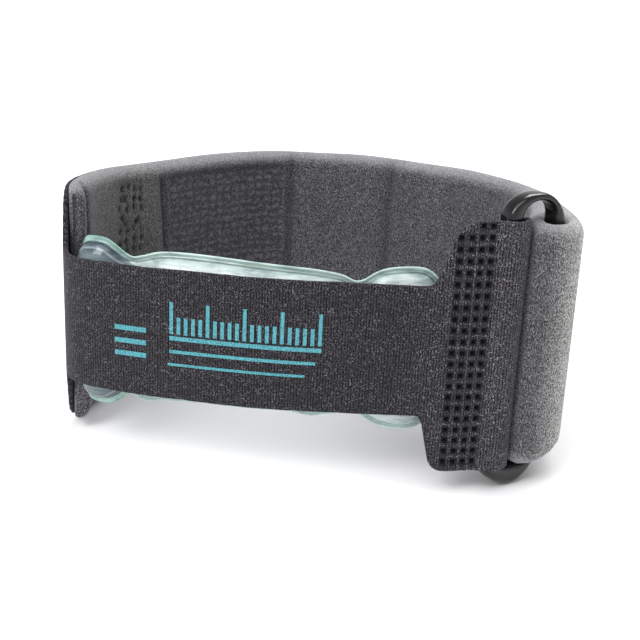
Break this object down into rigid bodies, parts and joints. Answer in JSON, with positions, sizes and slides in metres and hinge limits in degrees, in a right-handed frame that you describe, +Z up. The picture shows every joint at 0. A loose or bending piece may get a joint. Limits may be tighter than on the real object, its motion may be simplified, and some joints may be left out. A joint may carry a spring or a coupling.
{
  "type": "patella strap",
  "caption": "Closed support strap for below the kneecap: knit front band over an inflated pad, and a padded back strap doubled through a slotted ring and held by hook tape.",
  "frame": {"origin": "middle of the footprint of the standing strap, on the surface that it stands on", "axes": "+X along the front band towards the ring, +Y to the back of the leg opening, +Z up"},
  "size_m": [0.1604, 0.1208, 0.0922],
  "materials": {
    "knit_webbing": "black ribbed knit, matt",
    "foam_cloth": "dark grey heather loop cloth over foam, matt",
    "black_plastic": "black moulded plastic, satin",
    "clear_vinyl": "pale green clear film, welded, glossy",
    "hook_tape": "black hook tape, rough"
  },
  "bodies": {
    "root": {"front_band": "knit_webbing", "back_strap": "foam_cloth", "ring": "black_plastic", "air_cell": "clear_vinyl", "hook_patch": "hook_tape"}
  },
  "joints": []
}
